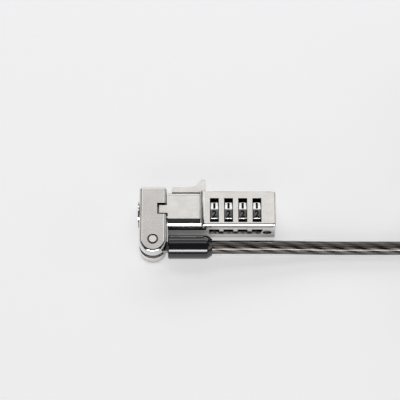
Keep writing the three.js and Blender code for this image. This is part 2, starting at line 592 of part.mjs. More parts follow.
// ---- cable ----------------------------------------------------------------------------
// Straight out of the boot, down to the surface, and along it to the hank.
const HANK_LEAD = 8.2; // the cable runs this far beside the hank's near fold
const CABLE_POINTS = [
  [CABLE_START, -11.6, 7.05], [-2, -11.6, 7.05], [2, -11.6, 7.0], [8, -11.53, 6.85],
  [14, -11.37, 6.45], [20, -11.14, 5.85], [26, -10.86, 5.1], [32, -10.6, 4.3], [38, -10.4, 3.55],
  [44, -10.3, 3.0], [50, CABLE_Y, 2.78], [56, CABLE_Y, CABLE_RADIUS], [66, CABLE_Y, CABLE_RADIUS], [76, CABLE_Y, CABLE_RADIUS],
  [HANK_LEFT, CABLE_Y, CABLE_RADIUS], [HANK_LEFT + HANK_LEAD, CABLE_Y, CABLE_RADIUS],
].map(([x, y, z]) => new THREE.Vector3(x, y, z));
add('cable', tube(new THREE.CatmullRomCurve3(CABLE_POINTS, false, 'centripetal'), CABLE_RADIUS, 14, 12), SMOKED);

// The hank is a stack of long turns with round folds, seen as one ring. The cable comes in
// along its front side.
const OUTER_FOLD = FOLD_RADIUS + (HANK_TURNS_ACROSS - 1) * CABLE_DIAMETER;
const HANK_Y = CABLE_Y + OUTER_FOLD;
const HANK_HALF = OUTER_FOLD + CABLE_RADIUS;
const HANK_HOLE = FOLD_RADIUS - CABLE_RADIUS;
const HANK_TOP = HANK_LAYERS * CABLE_DIAMETER;
const HANK_NEAR = HANK_LEFT + HANK_HALF;
const HANK_FAR = HANK_NEAR + HANK_STRAIGHT;
function stadium(Kind, r) {
  const s = new Kind();
  s.moveTo(HANK_NEAR, HANK_Y - r);
  s.lineTo(HANK_FAR, HANK_Y - r);
  s.absarc(HANK_FAR, HANK_Y, r, -Math.PI / 2, Math.PI / 2, false);
  s.lineTo(HANK_NEAR, HANK_Y + r);
  s.absarc(HANK_NEAR, HANK_Y, r, Math.PI / 2, 1.5 * Math.PI, false);
  return s;
}
const hankOutline = stadium(THREE.Shape, HANK_HALF);
hankOutline.holes.push(stadium(THREE.Path, HANK_HOLE));
add('cable_hank', alongZ(hankOutline, 0, HANK_TOP, 0, 12), SMOKED);

// Straps around the two long sides.
const STRAP_THICK = 1.0;
const STRAP_WIDTH = 12;
const STRAP_X = (HANK_NEAR + HANK_FAR) / 2;
[-1, 1].forEach((side, i) => {
  const inner = HANK_HOLE - GAP;
  const outer = HANK_HALF + GAP;
  const [y0, y1] = side < 0 ? [HANK_Y - outer, HANK_Y - inner] : [HANK_Y + inner, HANK_Y + outer];
  add(`cable_tie_${i + 1}`, made(
    box(STRAP_X - STRAP_WIDTH / 2, STRAP_X + STRAP_WIDTH / 2, y0 - STRAP_THICK, y1 + STRAP_THICK,
      GAP, HANK_TOP + GAP + STRAP_THICK),
    { cut: [box(STRAP_X - STRAP_WIDTH, STRAP_X + STRAP_WIDTH, y0, y1, -1, HANK_TOP + GAP)] }), STRAP);
});

// The far end rises onto the hank round its near fold, into the ferrule of the end loop.
const LYING_Z = HANK_TOP + 2 * GAP + STRAP_THICK + CABLE_RADIUS; // a cable lying on the straps
const TAIL_Z = LYING_Z + FERRULE_RADIUS - CABLE_RADIUS;
const TAIL_STEPS = 8;
const degrees = Math.PI / 180;
const RISE_FROM = 90 * degrees; // places round the fold
const TAIL_FROM = 217 * degrees;
const TAIL_TO = 290 * degrees;
const heading = TAIL_TO + Math.PI / 2 - 2 * Math.PI;
const RISE_LOW = HANK_TOP - CABLE_RADIUS;
const tailPoints = Array.from({ length: TAIL_STEPS + 1 }, (_, i) => {
  const a = TAIL_FROM + ((TAIL_TO - TAIL_FROM) * i) / TAIL_STEPS;
  const risen = 0.5 - 0.5 * Math.cos((Math.PI * (a - RISE_FROM)) / (TAIL_TO - RISE_FROM));
  return new THREE.Vector3(HANK_NEAR + FOLD_RADIUS * Math.cos(a), HANK_Y + FOLD_RADIUS * Math.sin(a),
    RISE_LOW + (TAIL_Z - RISE_LOW) * risen);
});
add('cable_tail', tube(new THREE.CatmullRomCurve3(tailPoints, false, 'centripetal'),
  CABLE_RADIUS, TAIL_STEPS, 12), SMOKED);

// Places along and across the ferrule's heading, from the end of the tail.
const tailEnd = tailPoints[tailPoints.length - 1];
const fromTail = (along, across, z = TAIL_Z) => new THREE.Vector3(
  tailEnd.x + along * Math.cos(heading) - across * Math.sin(heading),
  tailEnd.y + along * Math.sin(heading) + across * Math.cos(heading), z);

const ferruleMiddle = fromTail(2 * GAP + FERRULE_LENGTH / 2, 0);
add('loop_ferrule', new THREE.CylinderGeometry(FERRULE_RADIUS, FERRULE_RADIUS, FERRULE_LENGTH, 20)
  .rotateZ(-Math.PI / 2).scale(1, 1.55, 1).rotateZ(heading)
  .translate(ferruleMiddle.x, ferruleMiddle.y, ferruleMiddle.z), STEEL);

// A teardrop: two strands side by side at the ferrule that open into a round eye.
const LOOP_STRAND = 3.0; // each strand's distance from the ferrule's middle line
const loopStart = 4 * GAP + FERRULE_LENGTH;
const round = loopStart + LOOP_LENGTH - LOOP_HALF;
const side = (sign) => [[0, LOOP_STRAND], [5, LOOP_STRAND + 0.4], [12, 7], [21, 12.6]]
  .map(([along, across]) => fromTail(loopStart + along, sign * across,
    TAIL_Z + ((LYING_Z - TAIL_Z) * along) / 25));
const bend = Array.from({ length: 7 }, (_, i) => {
  const a = -Math.PI / 2 + (Math.PI * i) / 6;
  return fromTail(round + LOOP_HALF * Math.cos(a), LOOP_HALF * Math.sin(a), LYING_Z);
});
const loopPoints = [...side(-1), ...bend, ...side(1).reverse()];
add('end_loop', tube(new THREE.CatmullRomCurve3(loopPoints, false, 'centripetal'), CABLE_RADIUS, 32, 12), SMOKED);

export default lock;
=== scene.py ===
"""A four-dial laptop cable lock: the satin castings, the numbered dials, the thumb slide,
the yoke with its swivelling cable fitting, and the stranded security cable with its hank.

Lengths inside this script are millimetres in the row frame, and meshes are written in metres.
"""
import json
import logging
import math
from dataclasses import dataclass, field
from enum import Enum
from typing import Sequence

import bmesh
import bpy
import numpy as np
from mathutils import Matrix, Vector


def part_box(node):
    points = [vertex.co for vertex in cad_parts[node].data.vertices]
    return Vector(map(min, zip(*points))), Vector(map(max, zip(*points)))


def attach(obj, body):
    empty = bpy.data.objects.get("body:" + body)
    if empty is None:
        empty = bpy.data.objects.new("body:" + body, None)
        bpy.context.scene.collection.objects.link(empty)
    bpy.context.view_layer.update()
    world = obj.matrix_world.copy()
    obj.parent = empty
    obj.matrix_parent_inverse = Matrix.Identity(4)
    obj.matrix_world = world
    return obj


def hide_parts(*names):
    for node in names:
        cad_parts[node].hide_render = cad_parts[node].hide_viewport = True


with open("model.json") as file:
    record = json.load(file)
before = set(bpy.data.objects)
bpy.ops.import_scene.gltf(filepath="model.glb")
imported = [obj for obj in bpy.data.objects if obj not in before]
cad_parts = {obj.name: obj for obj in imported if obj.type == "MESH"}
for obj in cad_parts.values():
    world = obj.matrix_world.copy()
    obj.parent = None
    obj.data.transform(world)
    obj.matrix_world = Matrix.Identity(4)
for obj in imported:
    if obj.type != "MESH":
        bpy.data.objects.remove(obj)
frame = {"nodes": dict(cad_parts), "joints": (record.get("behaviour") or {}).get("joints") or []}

log = logging.getLogger("cable_lock")

MM = 0.001  # metres in a millimetre
HEAD_SHIFT = np.array([0.3, 0.075, 0.0])  # the design's own zero, in the row frame
WELD = 1e-7  # metres within which doubled points are merged
DIGIT_WELD = 1e-8  # the same for the small digits
SHARP_TURN = 32.0  # degrees; edges that turn more stay sharp, or are softened on a casting
FLAT_TURN = 0.05  # degrees; faces that turn less are one flat face
LEVEL_NORMAL = 0.999  # how upright the normal of a level face is
FLAT_WEIGHT = 80  # how strongly large faces keep their own shading
CREVICE_SHADE = 0.12  # how dark the painted shade makes a metal in its crevices, of its tint


# ---- meshes ---------------------------------------------------------------------------
def corners(node: str) -> tuple[np.ndarray, np.ndarray]:
    """The lowest and highest corner of a frame node, in millimetres."""
    low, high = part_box(node)
    return np.array(low) / MM, np.array(high) / MM


def joint_place(name: str) -> np.ndarray:
    """A hinge's point in the row frame, in millimetres."""
    joint = next(j for j in frame["joints"] if j["name"] == name)
    return np.array(joint["pos_m"]) / MM


def write_mesh(name: str, points: np.ndarray, faces: Sequence[np.ndarray],
               uvs: Sequence[np.ndarray] = ()) -> bpy.types.Object:
    """Puts arrays of points and faces into a mesh object at the origin.

    Args:
        name: the object's name.
        points: N x 3 places in millimetres.
        faces: arrays of vertex numbers, one array for each number of corners.
        uvs: for each array of faces, the places of its corners on the surface's own map.

    Returns:
        The linked object, with its faces turned outwards.
    """
    mesh = bpy.data.meshes.new(name)
    mesh.vertices.add(len(points))
    mesh.vertices.foreach_set("co", (np.asarray(points, float) * MM).ravel())
    totals = np.concatenate([np.full(len(f), f.shape[1]) for f in faces])
    loops = np.concatenate([f.ravel() for f in faces])
    mesh.loops.add(len(loops))
    mesh.loops.foreach_set("vertex_index", loops.astype(np.int32))
    mesh.polygons.add(len(totals))
    starts = np.concatenate([[0], np.cumsum(totals)[:-1]])
    mesh.polygons.foreach_set("loop_start", starts.astype(np.int32))
    mesh.update(calc_edges=True)
    if len(uvs):
        layer = mesh.uv_layers.new(name="surface")
        layer.data.foreach_set("uv", np.concatenate([u.reshape(-1, 2) for u in uvs]).ravel())
    mesh.validate()
    return finish_mesh(mesh, name)


def finish_mesh(mesh: bpy.types.Mesh, name: str) -> bpy.types.Object:
    """Merges doubles, turns faces outwards, smooths by angle and links the mesh's object.

    Args:
        mesh: the mesh to finish.
        name: its object's name.

    Returns:
        The linked object.
    """
    work = bmesh.new()
    work.from_mesh(mesh)
    bmesh.ops.remove_doubles(work, verts=work.verts, dist=WELD)
    bmesh.ops.recalc_face_normals(work, faces=work.faces)
    work.to_mesh(mesh)
    work.free()
    mesh.shade_smooth()
    mesh.set_sharp_from_angle(angle=math.radians(SHARP_TURN))
    piece = bpy.data.objects.new(name, mesh)
    bpy.context.collection.objects.link(piece)
    return piece


def grid(name: str, points: np.ndarray, wrap_u: bool = False, caps: bool = False,
         lengths: np.ndarray | None = None) -> bpy.types.Object:
    """A surface over two parameters: points[i, j] is the place at step i and j.

    The last column joins the first.

    Args:
        name: the object's name.
        points: U x V x 3 places in millimetres.
        wrap_u: the last row joins the first.
        caps: closes the first and last row with fans about their middles.
        lengths: the map's first coordinate for each row, by default its number.

    Returns:
        The linked object.
    """
    rows, columns = points.shape[:2]
    i, j = np.meshgrid(np.arange(rows - (not wrap_u)), np.arange(columns), indexing="ij")
    ring_i = np.stack([i, i + 1, i + 1, i], -1).reshape(-1, 4)
    ring_j = np.stack([j, j, j + 1, j + 1], -1).reshape(-1, 4)
    faces = [(ring_i % rows) * columns + ring_j % columns]
    along = np.arange(rows + 1, dtype=float) if lengths is None else np.append(lengths, lengths[-1])
    uvs = [np.stack([along[ring_i], ring_j / columns], -1)]
    flat = points.reshape(-1, 3)
    if caps:
        flat = np.vstack([flat, points[0].mean(0), points[-1].mean(0)])
        edge = np.arange(columns)
        after = (edge + 1) % columns
        last = (rows - 1) * columns
        around = np.stack([edge, edge + 1, edge], -1) / columns
        ends = [(0, rows * columns, along[0]), (last, rows * columns + 1, along[rows - 1])]
        for start, middle, at in ends:
            fan = np.stack([start + edge, start + after, np.full(columns, middle)], -1)
            faces.append(fan)
            uvs.append(np.stack([np.full(fan.shape, at), around], -1))
    return write_mesh(name, flat, faces, uvs)


def turned(name: str, profile: Sequence[tuple[float, float]], centre: np.ndarray, axis: str,
           steps: int, closed: bool = True) -> bpy.types.Object:
    """A profile turned about an axis through a centre.

    The surface is (radius(s) cos a, radius(s) sin a, place(s)) for a from 0 to a full turn.

    Args:
        name: the object's name.
        profile: (radius, place along the axis) pairs in millimetres.
        centre: a point on the axis.
        axis: "x", "y" or "z".
        steps: steps round a full turn.
        closed: the profile's end joins its start; otherwise each end is capped.

    Returns:
        The linked object.
    """
    radius, place = np.array(profile, float).T
    a = np.linspace(0, 2 * np.pi, steps, endpoint=False)
    across = radius[:, None] * np.cos(a)
    up = radius[:, None] * np.sin(a)
    along = np.broadcast_to(place[:, None], across.shape)
    order = {"x": (along, across, up), "y": (across, along, up), "z": (across, up, along)}[axis]
    offset = np.array([0.0 if k == axis else c for k, c in zip("xyz", centre)])
    return grid(name, np.stack(order, -1) + offset, wrap_u=closed, caps=not closed)


def rounded(points: Sequence[tuple[float, float]], radii: Sequence[float],
            steps: int = 10) -> np.ndarray:
    """A closed outline through corner points, each corner cut to an arc of its own radius.

    Each arc touches both sides at radius times the tangent of half the turn from the corner.

    Args:
        points: the corners in order.
        radii: the arc's radius at each corner.
        steps: points on each arc.

    Returns:
        N x 2 points of the outline.
    """
    corner = np.array(points, float)
    before = np.roll(corner, 1, 0) - corner
    after = np.roll(corner, -1, 0) - corner
    before /= np.linalg.norm(before, axis=1)[:, None]
    after /= np.linalg.norm(after, axis=1)[:, None]
    half = np.arccos(np.clip((before * after).sum(1), -1, 1)) / 2
    radius = np.array(radii, float)
    reach = radius / np.tan(half)
    middle = before + after
    middle = corner + middle / np.linalg.norm(middle, axis=1)[:, None] * (radius / np.sin(half))[:, None]
    start = corner + before * reach[:, None] - middle
    end = corner + after * reach[:, None] - middle
    t = np.linspace(0, 1, steps)[None, :, None]
    angle = np.pi - 2 * half[:, None, None]
    weight = np.sin(np.maximum(angle, 1e-6))
    arc = (np.sin((1 - t) * angle) * start[:, None] + np.sin(t * angle) * end[:, None]) / weight
    return (middle[:, None] + arc).reshape(-1, 2)


def path_frames(path: np.ndarray) -> tuple[np.ndarray, np.ndarray]:
    """Two directions across a path at each of its points, the first kept as level as it can be.

    Args:
        path: N x 3 points.

    Returns:
        The level directions, and those square to them and to the path.
    """
    along = np.gradient(path, axis=0)
    along /= np.linalg.norm(along, axis=1)[:, None]
    side = np.cross(along, [0.0, 0.0, 1.0])
    side /= np.linalg.norm(side, axis=1)[:, None]
    return side, np.cross(side, along)


def run_lengths(path: np.ndarray) -> np.ndarray:
    """The length along a path from its start to each of its points."""
    return np.concatenate([[0.0], np.cumsum(np.linalg.norm(np.diff(path, axis=0), axis=1))])


def respaced(path: np.ndarray, step: float) -> np.ndarray:
    """The same path with its points an even step apart.

    Args:
        path: N x 3 points.
        step: about how far apart the new points are.

    Returns:
        The new points.
    """
    far = run_lengths(path)
    at = np.linspace(0, far[-1], max(2, int(round(far[-1] / step)) + 1))
    return np.stack([np.interp(at, far, path[:, k]) for k in range(3)], -1)


def smooth_through(points: np.ndarray, steps: int = 12) -> np.ndarray:
    """A Catmull-Rom curve through points: each stretch blends its four nearest points by a cubic.

    Args:
        points: N x 3 points that the curve passes.
        steps: steps between two of them.

    Returns:
        The curve's points.
    """
    ghost = np.vstack([2 * points[0] - points[1], points, 2 * points[-1] - points[-2]])
    a, b, c, d = ghost[:-3], ghost[1:-2], ghost[2:-1], ghost[3:]
    t = np.linspace(0, 1, steps, endpoint=False)[:, None, None]
    curve = 0.5 * (2 * b + (c - a) * t + (2 * a - 5 * b + 4 * c - d) * t**2 + (3 * b - a - 3 * c + d) * t**3)
    return np.vstack([curve.transpose(1, 0, 2).reshape(-1, 3), points[-1:]])


def tube(name: str, path: np.ndarray, radius: float, sides: int = 28) -> bpy.types.Object:
    """A round tube carried along a path, closed at both ends.

    The surface is path(s) + radius (cos a side(s) + sin a up(s)).

    Args:
        name: the object's name.
        path: N x 3 points of its middle line, in millimetres.
        radius: the tube's radius.
        sides: steps round it.

    Returns:
        The linked object, with its map's first coordinate along the path in millimetres.
    """
    side, up = path_frames(path)
    a = np.linspace(0, 2 * np.pi, sides, endpoint=False)
    ring = np.cos(a)[None, :, None] * side[:, None] + np.sin(a)[None, :, None] * up[:, None]
    return grid(name, path[:, None] + radius * ring, caps=True, lengths=run_lengths(path))


def refined(node: str, edge: float, segments: int = 3) -> bpy.types.Object:
    """A copy of a frame node with merged faces, smooth rounds and softened edges.

    Args:
        node: the frame node that the piece stands for.
        edge: the width of the softened edges, in millimetres.
        segments: steps across a softened edge.

    Returns:
        The linked object, which replaces the node. Material 0 is on its level faces, and
        material 1 on all others and on its softened edges.
    """
    name = f"{node}_finished"
    mesh = frame["nodes"][node].data.copy()
    mesh.name = name
    mesh.materials.clear()
    work = bmesh.new()
    work.from_mesh(mesh)
    bmesh.ops.remove_doubles(work, verts=work.verts, dist=WELD)
    bmesh.ops.dissolve_limit(work, angle_limit=math.radians(FLAT_TURN), verts=work.verts, edges=work.edges)
    work.to_mesh(mesh)
    work.free()
    piece = finish_mesh(mesh, name)
    normals = np.empty(len(mesh.polygons) * 3)
    mesh.polygons.foreach_get("normal", normals)
    level = np.abs(normals.reshape(-1, 3)[:, 2]) > LEVEL_NORMAL
    mesh.polygons.foreach_set("material_index", np.where(level, 0, 1).astype(np.int32))
    bevel = piece.modifiers.new("edges", "BEVEL")
    bevel.width = edge * MM
    bevel.segments = segments
    bevel.limit_method = "ANGLE"
    bevel.angle_limit = math.radians(SHARP_TURN)
    bevel.harden_normals = True
    bevel.material = 1
    weighted = piece.modifiers.new("flats", "WEIGHTED_NORMAL")
    weighted.keep_sharp = True
    weighted.weight = FLAT_WEIGHT
    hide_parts(node)
    return piece


# ---- shader maths ----------------------------------------------------------------------
class Signal:
    """A shader socket that can be added, multiplied and compared like a number."""

    def __init__(self, bench: "Bench", socket: bpy.types.NodeSocket) -> None:
        """Keeps the socket and the bench that its tree belongs to."""
        self.bench = bench
        self.socket = socket

    def math(self, operation: str, *others: "Signal | float") -> "Signal":
        """A Math node of this value and others."""
        return self.bench.node("ShaderNodeMath", {"operation": operation}, [self, *others])

    def __add__(self, other: "Signal | float") -> "Signal":
        """Adds."""
        return self.math("ADD", other)

    __radd__ = __add__

    def __mul__(self, other: "Signal | float") -> "Signal":
        """Multiplies."""
        return self.math("MULTIPLY", other)

    __rmul__ = __mul__

    def __sub__(self, other: "Signal | float") -> "Signal":
        """Subtracts."""
        return self.math("SUBTRACT", other)

    def __rsub__(self, other: float) -> "Signal":
        """Subtracts this value from a number."""
        return self.bench.node("ShaderNodeMath", {"operation": "SUBTRACT"}, [other, self])

    def __truediv__(self, other: "Signal | float") -> "Signal":
        """Divides."""
        return self.math("DIVIDE", other)

    def __pow__(self, power: float) -> "Signal":
        """Raises to a power."""
        return self.math("POWER", power)

    def fraction(self) -> "Signal":
        """What is left after the whole number."""
        return self.math("FRACT")

    def clamped(self) -> "Signal":
        """Kept between 0 and 1."""
        return self.math("MAXIMUM", 0.0).math("MINIMUM", 1.0)

    def step(self, low: float, high: float) -> "Signal":
        """0 below low, 1 above high, and an even slope between them."""
        return ((self - low) / (high - low)).clamped()


class Bench:
    """Builds one material's nodes."""

    def __init__(self, name: str) -> None:
        """Starts an empty material with its output and surface shader.

        Args:
            name: the material's name.
        """
        self.material = bpy.data.materials.new(name)
        self.material.use_nodes = True
        self.tree = self.material.node_tree
        self.shader = self.tree.nodes["Principled BSDF"]

    def node(self, kind: str, settings: dict | None = None,
             values: "Sequence | dict | None" = None, output: int | str = 0) -> Signal:
        """Adds a node.

        Args:
            kind: the node's type.
            settings: its properties.
            values: numbers, colours or signals for its inputs, in order or by name.
            output: which of its outputs is returned.

        Returns:
            The output as a signal.
        """
        made = self.tree.nodes.new(kind)
        for key, value in (settings or {}).items():
            setattr(made, key, value)
        pairs = values.items() if isinstance(values, dict) else enumerate(values or ())
        for key, value in pairs:
            self.feed(made.inputs[key], value)
        return Signal(self, made.outputs[output])

    def feed(self, socket: bpy.types.NodeSocket, value: "Signal | float | Sequence[float]") -> None:
        """Links a signal to a socket, or sets the socket's own value.

        Args:
            socket: the input.
            value: a signal, a number, a vector or a colour without its alpha.
        """
        if isinstance(value, Signal):
            self.tree.links.new(value.socket, socket)
        elif socket.type == "RGBA" and len(value) == 3:
            socket.default_value = (*value, 1.0)
        else:
            socket.default_value = value

    def surface(self, **values: "Signal | float | Sequence[float]") -> bpy.types.Material:
        """Sets the surface shader's inputs.

        Args:
            values: signals or constants, by the input's name with underscores for spaces.

        Returns:
            The finished material.
        """
        for key, value in values.items():
            self.feed(self.shader.inputs[key.replace("_", " ")], value)
        return self.material

    def place(self) -> Signal:
        """The point on the piece, in metres."""
        return self.node("ShaderNodeTexCoord", output="Object")

    def noise(self, vector: Signal, scale: float, detail: float, roughness: float) -> Signal:
        """Cloudy noise between 0 and 1."""
        return self.node("ShaderNodeTexNoise", {}, {"Vector": vector, "Scale": scale,
                                                    "Detail": detail, "Roughness": roughness})

    def stretched(self, vector: Signal, scale: Sequence[float]) -> Signal:
        """The vector scaled along each axis."""
        return self.node("ShaderNodeMapping", {}, {"Vector": vector, "Scale": scale})

    def blend(self, share: "Signal | float", a: "Sequence[float] | Signal",
              b: "Sequence[float] | Signal") -> Signal:
        """A colour between a and b."""
        return self.node("ShaderNodeMix", {"data_type": "RGBA"}, {0: share, 6: a, 7: b}, output=2)

    def relief(self, height: Signal, depth: float, strength: float) -> Signal:
        """A bump normal from a height."""
        return self.node("ShaderNodeBump", {}, {"Height": height, "Distance": depth,
                                                "Strength": strength}, output="Normal")

    def tarnished(self, colour: Signal, tint: Sequence[float], reach: float,
                  low: float, high: float) -> Signal:
        """A metal's colour with painted shade: it falls to a fraction of its tint in crevices.

        Args:
            colour: the metal's colour in the open.
            tint: its plain tint.
            reach: how far apart walls may stand and still get painted shade, in metres.
            low: the share of open sky at which the painted shade is full.
            high: the share of open sky at which there is none.

        Returns:
            The colour with its painted shade.
        """
        open_sky = self.node("ShaderNodeAmbientOcclusion", {"samples": 8}, {"Distance": reach}, output="AO")
        # painted shade: the colour falls towards a dark copy of the tint where the occlusion node finds
        # walls close by
        return self.blend(open_sky.step(low, high), tuple(c * CREVICE_SHADE for c in tint), colour)


# ---- finishes ----------------------------------------------------------------------------
@dataclass(frozen=True)
class Plating:
    """Nickel plate over a casting or a turned piece, with a fine grain and faint blotches."""

    name: str
    slot: str
    tint: tuple[float, float, float]
    roughness: float
    grain: float  # how much the grain roughens the surface
    grain_scale: tuple[float, float, float] = (500.0, 3600.0, 3600.0)
    relief_depth: float = 0.0000012
    cloud_scale: float = 160.0
    cloud_shade: float = 0.88  # how dark the blotches are, of the tint
    crevice: float = 0.002  # metres between walls that get painted shade

    def material(self) -> bpy.types.Material:
        """Base metal with drifting tint and roughness, painted shade in crevices and grain in the relief.

        Returns:
            The material.
        """
        bench = Bench(self.name)
        place = bench.place()
        grain = bench.noise(bench.stretched(place, self.grain_scale), 1.0, 4.0, 0.6)
        cloud = bench.noise(place, self.cloud_scale, 3.0, 0.55)
        darker = tuple(c * self.cloud_shade for c in self.tint)
        colour = bench.blend(cloud.step(0.35, 0.7), darker, self.tint)
        # painted shade in the casting's crevices
        colour = bench.tarnished(colour, self.tint, self.crevice, 0.3, 0.95)
        rough = self.roughness + (grain - 0.5) * self.grain + (cloud - 0.5) * (0.3 * self.grain)
        return bench.surface(Base_Color=colour, Metallic=1.0, Roughness=rough.clamped(),
                             Normal=bench.relief(grain, self.relief_depth, 0.35))


@dataclass(frozen=True)
class BareSteel:
    """Plain machined steel or brass with turning marks."""

    name: str
    slot: str
    tint: tuple[float, float, float] = (0.56, 0.56, 0.57)
    roughness: float = 0.3
    mark_scale: tuple[float, float, float] = (2500.0, 600.0, 2500.0)
    mark_depth: float = 0.000005
    stain_scale: float = 420.0
    stain_shade: float = 0.72
    crevice: float = 0.004

    def material(self) -> bpy.types.Material:
        """Metal with fine marks, small stains and painted shade in crevices.

        Returns:
            The material.
        """
        bench = Bench(self.name)
        place = bench.place()
        marks = bench.noise(bench.stretched(place, self.mark_scale), 1.0, 5.0, 0.65)
        stain = bench.noise(place, self.stain_scale, 4.0, 0.6)
        stained = tuple(c * self.stain_shade for c in self.tint)
        colour = bench.blend(stain.step(0.4, 0.75), self.tint, stained)
        # painted shade in the steel's crevices
        colour = bench.tarnished(colour, self.tint, self.crevice, 0.2, 0.9)
        rough = (self.roughness + (marks - 0.5) * 0.2).clamped()
        return bench.surface(Base_Color=colour, Metallic=1.0, Roughness=rough,
                             Normal=bench.relief(marks, self.mark_depth, 0.4))


@dataclass(frozen=True)
class MouldedGloss:
    """Glossy black moulding with faint orange peel."""

    name: str = "gloss_black"
    slot: str = "gloss_black"
    tint: tuple[float, float, float] = (0.006, 0.006, 0.007)
    dust_tint: tuple[float, float, float] = (0.07, 0.07, 0.072)
    roughness: float = 0.12
    peel_scale: float = 700.0
    peel_depth: float = 0.00001
    dust_scale: float = 2600.0

    def material(self) -> bpy.types.Material:
        """Dark plastic under a clear coat, with a soft ripple in the relief.

        Returns:
            The material.
        """
        bench = Bench(self.name)
        place = bench.place()
        peel = bench.noise(place, self.peel_scale, 2.0, 0.5)
        dust = bench.noise(place, self.dust_scale, 4.0, 0.7).step(0.62, 0.8)
        colour = bench.blend(dust * 0.35, self.tint, self.dust_tint)
        return bench.surface(Base_Color=colour, Roughness=(self.roughness + dust * 0.15).clamped(),
                             IOR=1.5, Coat_Weight=0.6, Coat_Roughness=0.03,
                             Normal=bench.relief(peel, self.peel_depth, 0.25))


@dataclass(frozen=True)
class StrandedJacket:
    """A rope of steel strands seen through a smoke-tinted clear jacket."""

    name: str = "stranded_jacket"
    slot: str = "cable_jacket"
    strands: int = 6
    lay: float = 52.0  # millimetres along the cable for one turn of a strand
    wires: int = 5  # wires seen across a strand
    wire_lay: float = 9.0  # millimetres along the cable for one turn of a wire
    # colour in the strand valleys: painted shade, partly the jacket's smoke tint
    valley: tuple[float, float, float] = (0.0012, 0.001, 0.0009)
    crown: tuple[float, float, float] = (0.105, 0.088, 0.076)
    drift_scale: float = 90.0
    strand_depth: float = 0.0006

    def material(self) -> bpy.types.Material:
        """Twisted crowns and valleys from the tube's own map, under a glossy coat, with painted shade in the
        valleys.

        The strand's number is around x strands + along x strands / lay, and its fraction
        runs over one strand from valley to valley.

        Returns:
            The material.
        """
        bench = Bench(self.name)
        along, around = self.split(bench, bench.node("ShaderNodeUVMap", {"uv_map": "surface"}))
        strand = (around * float(self.strands) + along * (self.strands / self.lay)).fraction()
        crown = 1.0 - (strand * 2.0 - 1.0) ** 2.0
        wire = (strand * float(self.wires) - along * (self.wires / self.wire_lay)).fraction()
        wire_crown = 1.0 - (wire * 2.0 - 1.0) ** 2.0
        height = crown ** 0.5 + wire_crown * 0.10
        drift = bench.noise(bench.place(), self.drift_scale, 2.0, 0.5)
        # painted shade: the colour falls to near black in the valleys between strands and between wires,
        # partly the jacket's smoke tint
        lit_share = (crown ** 2.2 * (0.65 + wire_crown * 0.35) * (0.6 + drift * 0.8)).clamped()
        colour = bench.blend(lit_share, self.valley, self.crown)
        return bench.surface(Base_Color=colour, Metallic=0.85, Roughness=0.34,
                             Coat_Weight=1.0, Coat_Roughness=0.04,
                             Normal=bench.relief(height, self.strand_depth, 0.8))

    @staticmethod
    def split(bench: Bench, vector: Signal) -> tuple[Signal, Signal]:
        """The map's two coordinates: millimetres along, and turns around."""
        along = bench.node("ShaderNodeSeparateXYZ", {}, [vector], output="X")
        return along, Signal(bench, along.socket.node.outputs["Y"])


@dataclass(frozen=True)
class Webbing:
    """A woven black strap."""

    name: str = "strap"
    slot: str = "strap"
    thread: tuple[float, float, float] = (0.008, 0.008, 0.009)
    fluff: tuple[float, float, float] = (0.045, 0.045, 0.05)
    weave_scale: float = 420.0
    weave_depth: float = 0.00012
    fuzz_scale: float = 1800.0

    def material(self) -> bpy.types.Material:
        """Crossed ribs of weave with fuzz.

        Returns:
            The material.
        """
        bench = Bench(self.name)
        place = bench.place()
        weave = bench.node("ShaderNodeTexWave", {"bands_direction": "X"},
                           {"Vector": place, "Scale": self.weave_scale, "Distortion": 1.5, "Detail": 2.0})
        fuzz = bench.noise(place, self.fuzz_scale, 4.0, 0.7)
        colour = bench.blend(fuzz, self.thread, self.fluff)
        return bench.surface(Base_Color=colour, Roughness=0.9, Sheen_Weight=0.4,
                             Normal=bench.relief(weave + fuzz * 0.5, self.weave_depth, 0.7))


@dataclass(frozen=True)
class DigitPaint:
    """Dark paint that fills the dials' digits."""

    name: str = "digit_paint"
    slot: str = "dial_metal"
    dark: tuple[float, float, float] = (0.004, 0.004, 0.0045)
    light: tuple[float, float, float] = (0.012, 0.012, 0.013)
    speck_scale: float = 3000.0

    def material(self) -> bpy.types.Material:
        """Matt near-black with slight unevenness.

        Returns:
            The material.
        """
        bench = Bench(self.name)
        speck = bench.noise(bench.place(), self.speck_scale, 3.0, 0.6)
        colour = bench.blend(speck, self.dark, self.light)
        return bench.surface(Base_Color=colour, Roughness=(0.45 + speck * 0.2).clamped(),
                             Specular_IOR_Level=0.1)


class Finish(Enum):
    """The lock's finishes by name."""

    SATIN = Plating("satin_nickel", "satin_nickel", (0.80, 0.775, 0.745), 0.22, 0.10)
    SATIN_YOKE = Plating("satin_nickel_yoke", "satin_nickel", (0.70, 0.675, 0.65), 0.26, 0.14)
    POLISHED = Plating("polished_nickel", "polished_nickel", (0.80, 0.785, 0.765), 0.08, 0.04, crevice=0.005)
    DIAL = Plating("dial_plate", "dial_metal", (0.86, 0.86, 0.86), 0.30, 0.08)
    STEEL = BareSteel("steel", "steel")
    BRASS = BareSteel("brass", "brass", (0.66, 0.50, 0.24), 0.28)
    GLOSS = MouldedGloss()
    CABLE = StrandedJacket()
    STRAP = Webbing()
    DIGITS = DigitPaint()


